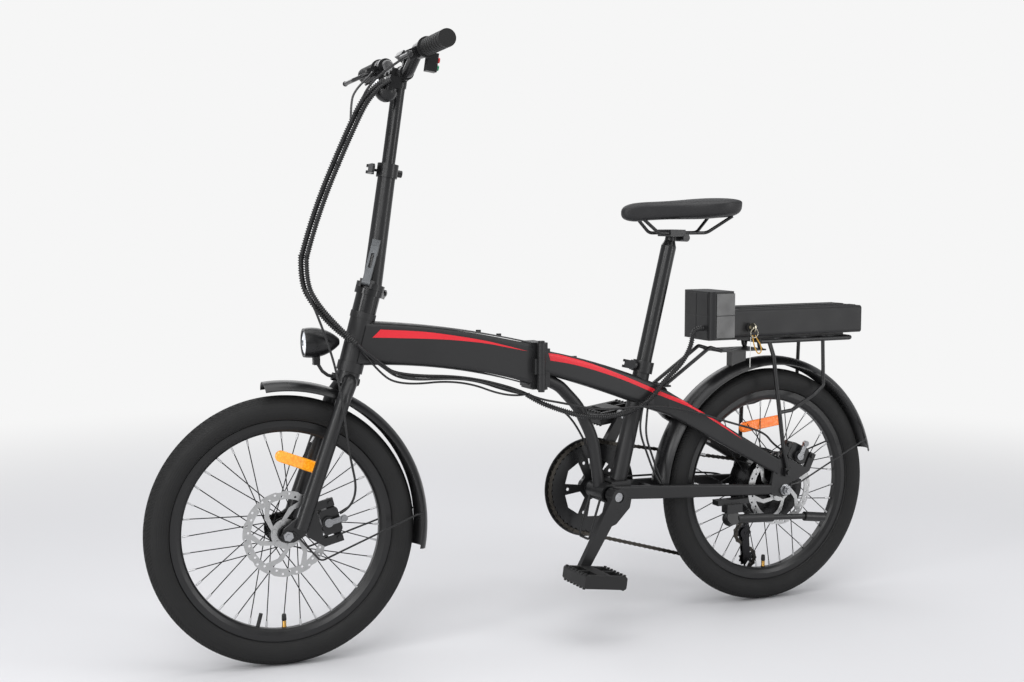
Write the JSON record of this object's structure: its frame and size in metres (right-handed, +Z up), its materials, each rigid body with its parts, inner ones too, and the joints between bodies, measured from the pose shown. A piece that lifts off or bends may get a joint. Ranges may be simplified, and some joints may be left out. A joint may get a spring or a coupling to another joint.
{
  "type": "folding electric bicycle",
  "caption": "Folding electric bicycle with small wheels, hinged frame and handlepost, rear hub motor, rear rack with slide-out battery, mudguards and disc brakes.",
  "frame": {"origin": "bottom centre of the bounding box, on the ground plane under the tyres", "axes": "+X points forward, +Y to the rider's left, +Z up"},
  "size_m": [1.613, 0.5764, 1.1595],
  "materials": {
    "frame_paint": "matte",
    "black_parts": "satin",
    "bright_parts": "satin",
    "bare_steel": "satin",
    "chain_steel": "oiled",
    "hub_paint": "gloss",
    "spoke_steel": "black oxide",
    "rim_paint": "satin",
    "tyre_rubber": "matte",
    "tube_rubber": "matte",
    "black_plastic": "matte",
    "key_metal": "worn",
    "saddle_cover": "matte",
    "cable_jacket": "satin",
    "red_plastic": "gloss",
    "green_plastic": "gloss"
  },
  "bodies": {
    "rear_frame": {"rear_frame": "frame_paint", "seat_clamp": "black_parts", "bottom_bracket": "bare_steel", "rear_axle": "bare_steel", "chain": "chain_steel", "derailleur": "black_parts", "rear_fender": "frame_paint", "rear_rack": "black_parts", "battery_dock": "black_plastic", "kickstand_mount": "black_parts", "rear_caliper": "black_parts", "rear_cables": "cable_jacket"},
    "seat_clamp_lever": {"seat_clamp_lever": "black_parts"},
    "seatpost": {"seatpost": "black_parts", "saddle": "saddle_cover"},
    "crank": {"crank_spindle": "bare_steel", "left_crank": "black_parts", "right_crank": "black_parts"},
    "left_pedal": {"left_pedal": "black_plastic"},
    "right_pedal": {"right_pedal": "black_plastic"},
    "freewheel": {"freewheel": "chain_steel"},
    "rear_wheel": {"rear_tyre": "tyre_rubber", "rear_tube": "tube_rubber", "rear_rim": "rim_paint", "rear_spokes": "spoke_steel", "rear_hub": "hub_paint", "rear_rotor": "bare_steel"},
    "kickstand": {"kickstand_leg": "black_parts"},
    "battery": {"battery": "black_plastic"},
    "battery_key": {"battery_key": "key_metal"},
    "rear_caliper_arm": {"rear_caliper_arm": "bright_parts"},
    "front_frame": {"front_frame": "frame_paint", "main_cables": "cable_jacket"},
    "frame_latch": {"frame_latch": "black_parts"},
    "fork": {"fork": "frame_paint", "stem_base": "bright_parts", "front_fender": "frame_paint", "front_axle": "bare_steel", "front_caliper": "black_parts", "head_cables": "cable_jacket"},
    "headlight": {"headlight": "black_plastic"},
    "front_wheel": {"front_tyre": "tyre_rubber", "front_tube": "tube_rubber", "front_rim": "rim_paint", "front_spokes": "spoke_steel", "front_hub": "hub_paint", "front_rotor": "bare_steel"},
    "front_caliper_arm": {"front_caliper_arm": "bright_parts"},
    "handlepost": {"handlepost": "frame_paint"},
    "stem_latch": {"stem_latch": "bright_parts"},
    "post_collar_lever": {"post_collar_lever": "black_parts"},
    "upper_post": {"upper_post": "black_parts", "handlebar": "black_parts", "grips": "tube_rubber", "bar_controls": "black_plastic", "bar_cables": "cable_jacket"},
    "left_brake_lever": {"left_brake_lever": "black_parts"},
    "right_brake_lever": {"right_brake_lever": "black_parts"},
    "red_button": {"red_button": "red_plastic"},
    "green_button": {"green_button": "green_plastic"}
  },
  "joints": [
    {"name": "seat_clamp_open", "type": "hinge", "parent": "rear_frame", "child": "seat_clamp_lever", "pos_m": [-0.1954, -0.01925, 0.53111], "axis": [0.2351, 0, -0.972], "range_deg": [0, 120]},
    {"name": "saddle_height", "type": "slide", "parent": "rear_frame", "child": "seatpost", "axis": [-0.2351, 0, 0.972], "range_m": [-0.11, 0.05]},
    {"name": "crank_spin", "type": "hinge", "parent": "rear_frame", "child": "crank", "pos_m": [-0.1262, 0.00475, 0.271], "axis": [0, 1, 0], "continuous": true},
    {"name": "left_pedal_spin", "type": "hinge", "parent": "crank", "child": "left_pedal", "pos_m": [-0.0422, 0.09975, 0.12782], "axis": [0, 1, 0], "continuous": true},
    {"name": "right_pedal_spin", "type": "hinge", "parent": "crank", "child": "right_pedal", "pos_m": [-0.2102, -0.09025, 0.41418], "axis": [0, 1, 0], "continuous": true},
    {"name": "freewheel_spin", "type": "hinge", "parent": "rear_frame", "child": "freewheel", "pos_m": [-0.5312, -0.04425, 0.254], "axis": [0, 1, 0], "continuous": true},
    {"name": "rear_wheel_spin", "type": "hinge", "parent": "rear_frame", "child": "rear_wheel", "pos_m": [-0.5312, 0.00475, 0.254], "axis": [0, 1, 0], "continuous": true},
    {"name": "kickstand_swing", "type": "hinge", "parent": "rear_frame", "child": "kickstand", "pos_m": [-0.3972, 0.07675, 0.203], "axis": [-0.0561, -0.9421, -0.3307], "range_deg": [0, 87]},
    {"name": "battery_slide", "type": "slide", "parent": "rear_frame", "child": "battery", "axis": [-1, 0, 0], "range_m": [0, 0.36]},
    {"name": "key_turn", "type": "hinge", "parent": "battery", "child": "battery_key", "pos_m": [-0.4512, 0.05475, 0.604], "axis": [0, 1, 0], "range_deg": [0, 90]},
    {"name": "rear_brake_arm", "type": "hinge", "parent": "rear_frame", "child": "rear_caliper_arm", "pos_m": [-0.56539, 0.07975, 0.32411], "axis": [0, 1, 0], "range_deg": [0, 20], "stiffness_Nm_per_rad": 0.3, "springref_deg": -17.19},
    {"name": "frame_fold", "type": "hinge", "parent": "rear_frame", "child": "front_frame", "pos_m": [0.0328, 0.04175, 0.542], "axis": [0, 0, 1], "range_deg": [0, 150], "deforming": ["main_cables", "rear_cables"]},
    {"name": "frame_latch_open", "type": "hinge", "parent": "front_frame", "child": "frame_latch", "pos_m": [0.0508, -0.02825, 0.543], "axis": [0, 0, 1], "range_deg": [0, 110]},
    {"name": "steering", "type": "hinge", "parent": "front_frame", "child": "fork", "pos_m": [0.4046, 0.00475, 0.60489], "axis": [-0.2672, 0, 0.9636], "range_deg": [-54.3, 65.7], "deforming": ["head_cables"]},
    {"name": "headlight_tilt", "type": "hinge", "parent": "fork", "child": "headlight", "pos_m": [0.48248, -0.00176, 0.56796], "axis": [0.0957, 0.9951, 0.0265], "range_deg": [-6, 20]},
    {"name": "front_wheel_spin", "type": "hinge", "parent": "fork", "child": "front_wheel", "pos_m": [0.55356, -0.00021, 0.25393], "axis": [0.0957, 0.9951, 0.0265], "continuous": true},
    {"name": "front_brake_arm", "type": "hinge", "parent": "fork", "child": "front_caliper_arm", "pos_m": [0.48392, 0.06421, 0.27509], "axis": [0.0957, 0.9951, 0.0265], "range_deg": [0, 20], "stiffness_Nm_per_rad": 0.3, "springref_deg": -17.19},
    {"name": "stem_fold", "type": "hinge", "parent": "fork", "child": "handlepost", "pos_m": [0.36045, -0.02042, 0.69642], "axis": [0.7825, -0.5835, 0.217], "range_deg": [0, 160]},
    {"name": "stem_latch_open", "type": "hinge", "parent": "handlepost", "child": "stem_latch", "pos_m": [0.39264, 0.02993, 0.71572], "axis": [-0.7825, 0.5835, -0.217], "range_deg": [0, 100]},
    {"name": "collar_lever_open", "type": "hinge", "parent": "handlepost", "child": "post_collar_lever", "pos_m": [0.36482, -0.02216, 0.92815], "axis": [0.1527, 0.0117, -0.9882], "range_deg": [0, 120]},
    {"name": "bar_height", "type": "slide", "parent": "handlepost", "child": "upper_post", "axis": [-0.1527, -0.0117, 0.9882], "range_m": [-0.07, 0.04], "deforming": ["bar_cables"]},
    {"name": "left_brake_pull", "type": "hinge", "parent": "upper_post", "child": "left_brake_lever", "pos_m": [0.34558, 0.14518, 1.12923], "axis": [0.3918, -0.0622, 0.918], "range_deg": [0, 16], "stiffness_Nm_per_rad": 0.4, "springref_deg": -17.19},
    {"name": "right_brake_pull", "type": "hinge", "parent": "upper_post", "child": "right_brake_lever", "pos_m": [0.31725, -0.14936, 1.12138], "axis": [-0.3918, 0.0622, -0.918], "range_deg": [0, 16], "stiffness_Nm_per_rad": 0.4, "springref_deg": -17.19},
    {"name": "red_button_press", "type": "slide", "parent": "upper_post", "child": "red_button", "axis": [0.9836, -0.0986, 0.1508], "range_m": [0, 0.0018], "stiffness_N_per_m": 300, "springref_m": -0.001},
    {"name": "green_button_press", "type": "slide", "parent": "upper_post", "child": "green_button", "axis": [0.9836, -0.0986, 0.1508], "range_m": [0, 0.0018], "stiffness_N_per_m": 300, "springref_m": -0.001}
  ],
  "couplings": [
    {"joint": "freewheel_spin", "follows": "crank_spin", "ratio": 2.4},
    {"joint": "front_brake_arm", "follows": "left_brake_pull", "ratio": 1.25},
    {"joint": "rear_brake_arm", "follows": "right_brake_pull", "ratio": 1.25}
  ]
}
